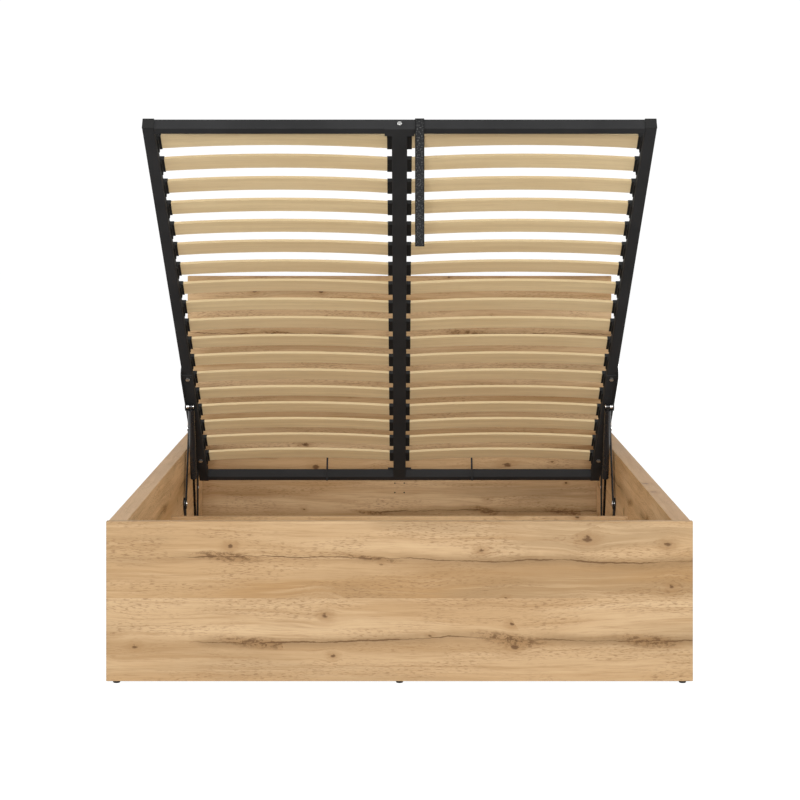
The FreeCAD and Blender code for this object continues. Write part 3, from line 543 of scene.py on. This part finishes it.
cap_half = 0.0281
cap_low = 0.0302
cap_high = 0.0422
cap_wall = 0.0012
pocket_depth = 0.0208
middle_half = 0.011
lip_clear = 0.0002
lip_far = 0.0032
lip_inset = 0.001
lip_drop = 0.011
tube_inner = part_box("right_side_tube")[0].x
for side, name in ((1, "right_slat_caps"), (-1, "left_slat_caps")):
    low_x, high_x = (corner.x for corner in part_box(name))
    lip_xs = sorted((side * (tube_inner - lip_clear), side * (tube_inner - lip_far)))
    lip = (Vector((lip_xs[0], -cap_half + lip_inset, cap_low - lip_drop)),
           Vector((lip_xs[1], cap_half - lip_inset, cap_low + lip_inset)))
    block = pocket_block(name + "_block", Vector((low_x, -cap_half, cap_low)), Vector((high_x, cap_half, cap_high)),
                         cap_wall, [(-side, pocket_depth)], lip)
    caps = along_frame("moulded_" + name, block, black_plastic)
    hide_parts(name)
    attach(caps, "slat_frame")
centre_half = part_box("centre_slat_caps")[1].x
block = pocket_block("centre_cap_block", Vector((-centre_half, -cap_half, cap_low)),
                     Vector((centre_half, cap_half, cap_high)), cap_wall,
                     [(1, centre_half - middle_half), (-1, centre_half - middle_half)])
caps = along_frame("moulded_centre_slat_caps", block, black_plastic)
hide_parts("centre_slat_caps")
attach(caps, "slat_frame")


# Pull strap
# One length of black woven webbing, 24 mm wide. It runs up the front of the foot rail, round it and back under itself,
# where the end is sewn behind the tail. The tail hangs free and swings with the hand.
strap_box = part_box("strap_tail")
strap_x = (strap_box[0].x + strap_box[1].x) / 2
strap_w = strap_box[1].x - strap_box[0].x
strap_t = 0.0021
strap_round = 0.0007
rail_clear = 0.0004
gap = rail_clear + strap_t / 2
rail_w = 0.025
rail_h = 0.030
corner_r = 0.0028
corner_steps = 5
hang_inset = 0.0012
bend_start = 0.004
bend_drop = 0.016
tail_steps = 40
seam_in = 0.006
seam_clear = 0.0006
seam_layer = 0.0002
seam_drop = 0.018
seam_length = 0.040
seam_steps = 6


def arc(centre, start_deg, end_deg):
    """Points round one corner of the rail, in the flat frame's y and z."""
    angles = [math.radians(start_deg + (end_deg - start_deg) * k / corner_steps) for k in range(corner_steps + 1)]
    return [Vector((0, centre[0] + corner_r * math.cos(a), centre[1] + corner_r * math.sin(a))) for a in angles]


# the strap's middle line, from the tail's end up, round the rail and down to the sewn end
front = -frame_length - gap
back = -frame_length + rail_w + gap
top = rail_h + gap
flat_run = arc((front + corner_r, top - corner_r), 180, 90)
flat_run += arc((back - corner_r, top - corner_r), 90, 0)
flat_run += arc((back - corner_r, -gap + corner_r), 0, -90)
loop_run = [to_raised @ p for p in flat_run]
tail_top = to_raised @ Vector((0, front, bend_start))
hang_y = strap_box[0].y + hang_inset
tail_low = strap_box[0].z
tail_rise = tail_top.z - bend_drop - tail_low
tail_run = [Vector((0, hang_y, tail_low + tail_rise * k / tail_steps)) for k in range(tail_steps + 1)]
sewn_top = to_raised @ Vector((0, front + seam_in, -gap - seam_clear))
sewn_y = hang_y + strap_t + seam_layer
sewn_z = tail_top.z - seam_drop
sewn_run = [Vector((0, sewn_y, sewn_z - seam_length * k / seam_steps)) for k in range(seam_steps + 1)]
run = tail_run + [tail_top] + loop_run + [sewn_top] + sewn_run
lengths = [0.0]
for a, b in zip(run, run[1:]):
    lengths.append(lengths[-1] + (b - a).length)

# its flat section with rounded selvedges, carried along that line
half_section = []
for lean_deg in (-90, -45, 0, 45, 90):
    lean = math.radians(lean_deg)
    half_section.append((strap_w / 2 - strap_round + strap_round * math.cos(lean), strap_t / 2 * math.sin(lean)))
section = half_section + [(-x_off, t) for x_off, t in reversed(half_section)]
made = bmesh.new()
uv = made.loops.layers.uv.new("weave")
rings = []
for k, point in enumerate(run):
    ahead = run[min(k + 1, len(run) - 1)] - run[max(k - 1, 0)]
    normal = Vector((1, 0, 0)).cross(ahead.normalized())
    rings.append([made.verts.new(Vector((strap_x + x_off, point.y, point.z)) + normal * t) for x_off, t in section])
for k in range(len(run) - 1):
    for j in range(len(section)):
        j2 = (j + 1) % len(section)
        corners = ((j, k), (j2, k), (j2, k + 1), (j, k + 1))
        face = made.faces.new([rings[ring][spot] for spot, ring in corners])
        face.smooth = True
        for loop, (spot, ring) in zip(face.loops, corners):
            loop[uv].uv = (section[spot][0], lengths[ring])
made.faces.new(list(reversed(rings[0])))
made.faces.new(rings[-1])
bmesh.ops.recalc_face_normals(made, faces=made.faces)
mesh = bpy.data.meshes.new("pull_strap_webbing")
made.to_mesh(mesh)
made.free()
strap = bpy.data.objects.new("pull_strap_webbing", mesh)
bpy.context.scene.collection.objects.link(strap)

# the weave, with painted glints of light on the fibres here and there and darker selvedges
weave_across = 0.0042
weave_along = 0.0048
selvedge_inner = 0.0034
selvedge_outer = 0.0014
webbing, tree, shader = fresh_material("black_webbing")
do, rise = partial(calc, tree), partial(ramp, tree)
weave_map = add(tree, "ShaderNodeUVMap", uv_map="weave").outputs[0]
axes = split(tree, weave_map)
across = do("SINE", do("MULTIPLY", axes[x], 2 * math.pi / weave_across))
along = do("SINE", do("MULTIPLY", axes[y], 2 * math.pi / weave_along))
weave = do("MULTIPLY", across, along)
glint = add(tree, "ShaderNodeTexNoise", {"Vector": weave_map, "Scale": 270.0, "Detail": 1.0}).outputs["Fac"]
selvedge = rise(do("ABSOLUTE", axes[x]), strap_w / 2 - selvedge_inner, strap_w / 2 - selvedge_outer)
colour = tint(tree, (0.015, 0.015, 0.0155, 1), (0.036, 0.037, 0.038, 1), rise(weave, 0.0, 0.9))
# painted glints: light specks laid into the colour of the webbing
colour = tint(tree, colour, (0.20, 0.196, 0.190, 1), do("MULTIPLY", rise(glint, 0.54, 0.66), 0.36))
colour = tint(tree, colour, (0.007, 0.007, 0.007, 1), do("MULTIPLY", selvedge, 0.8))
tree.links.new(colour, shader.inputs["Base Color"])
emboss(tree, shader, weave, strength=0.5, distance=0.0006)
shader.inputs["Roughness"].default_value = 0.8
shader.inputs["Specular IOR Level"].default_value = 0.08
mesh.materials.append(webbing)
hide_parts("strap_loop", "strap_tail")
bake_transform(strap)


# Studio
# A pale floor that the lens sees as white, where a faint shadow can stay, and a white surround.
# Broad soft lamps stand in front, above, at both sides and low behind.
far = 30
floor_glow = 1.485
glow_share = 0.65
floor_mesh = bpy.data.meshes.new("studio_floor")
floor_mesh.from_pydata([(-far, -far, 0), (far, -far, 0), (far, far, 0), (-far, far, 0)], [], [(0, 1, 2, 3)])
floor = bpy.data.objects.new("studio_floor", floor_mesh)
bpy.context.scene.collection.objects.link(floor)
floor_white, tree, shader = fresh_material("studio_white")
shader.inputs["Base Color"].default_value = (0.46, 0.46, 0.46, 1)
shader.inputs["Roughness"].default_value = 0.9
shader.inputs["Specular IOR Level"].default_value = 0.0
glow = add(tree, "ShaderNodeEmission", {"Color": (1, 1, 1, 1), "Strength": floor_glow}).outputs[0]
rays = add(tree, "ShaderNodeLightPath").outputs
seen = calc(tree, "MAXIMUM", rays["Is Camera Ray"], rays["Is Glossy Ray"])
paper = add(tree, "ShaderNodeMixShader", {0: calc(tree, "MULTIPLY", seen, glow_share), 1: shader.outputs[0], 2: glow})
tree.links.new(paper.outputs[0], tree.nodes["Material Output"].inputs["Surface"])
floor_mesh.materials.append(floor_white)

fill_strength = 0.25
seen_extra = 0.8
world = bpy.data.worlds.new("studio_world")
bpy.context.scene.world = world
world.use_nodes = True
tree = world.node_tree
sky = tree.nodes["Background"]
sky.inputs["Color"].default_value = (1, 1, 1, 1)
rays = add(tree, "ShaderNodeLightPath").outputs
seen = calc(tree, "MAXIMUM", rays["Is Camera Ray"], rays["Is Transmission Ray"])
seen = calc(tree, "MAXIMUM", seen, rays["Is Glossy Ray"])
tree.links.new(calc(tree, "MULTIPLY_ADD", seen, seen_extra, fill_strength), sky.inputs["Strength"])


def soft_light(name, at, aim, size, power, mirrored=True):
    """A round lamp that the lens doesn't see, turned to a point."""
    light = bpy.data.lights.new(name, "AREA")
    light.shape = "DISK"
    light.size = size
    light.energy = power
    lamp = bpy.data.objects.new(name, light)
    lamp.location = at
    lamp.visible_camera = False
    lamp.visible_glossy = mirrored
    lamp.rotation_euler = (Vector(aim) - Vector(at)).to_track_quat("-Z", "Y").to_euler()
    bpy.context.scene.collection.objects.link(lamp)


soft_light("front_key", at=(-0.2, -14.0, 1.7), aim=(0, 0, 0.6), size=2.4, power=1030)
soft_light("front_high", at=(-0.2, -13.0, 5.0), aim=(0, 0, 0.6), size=4.0, power=480)
soft_light("left_soft", at=(-4.5, -2.5, 2.6), aim=(0.3, 0.2, 0.3), size=2.5, power=100)
soft_light("right_soft", at=(4.5, -2.5, 2.6), aim=(-0.3, 0.2, 0.3), size=2.5, power=100)
soft_light("top_soft", at=(0.0, 0.4, 4.6), aim=(0, 0, 0), size=3.2, power=15)
soft_light("back_soft", at=(1.0, 9.0, 0.9), aim=(0, 1.0, 0.5), size=3.0, power=220, mirrored=False)

# The lens looks level along the bed, so upright lines stay upright, and its shift sets the frame of the picture.
picture_px = 800.0
focal_px = 2134.0
foot_face_y = -1.026
lens_distance = 5.272
lens_height = 1.204
lens = bpy.data.cameras.new("lens")
lens.sensor_width = 36.0
lens.lens = lens.sensor_width * focal_px / picture_px
lens.shift_x = 0.0006
lens.shift_y = -0.2551
lens.clip_end = 100.0
camera = bpy.data.objects.new("lens", lens)
camera.location = (0.0, foot_face_y - lens_distance, lens_height)
camera.rotation_euler = (math.radians(90), 0, 0)
bpy.context.scene.collection.objects.link(camera)
bpy.context.scene.camera = camera
bpy.context.scene.view_settings.view_transform = "Standard"
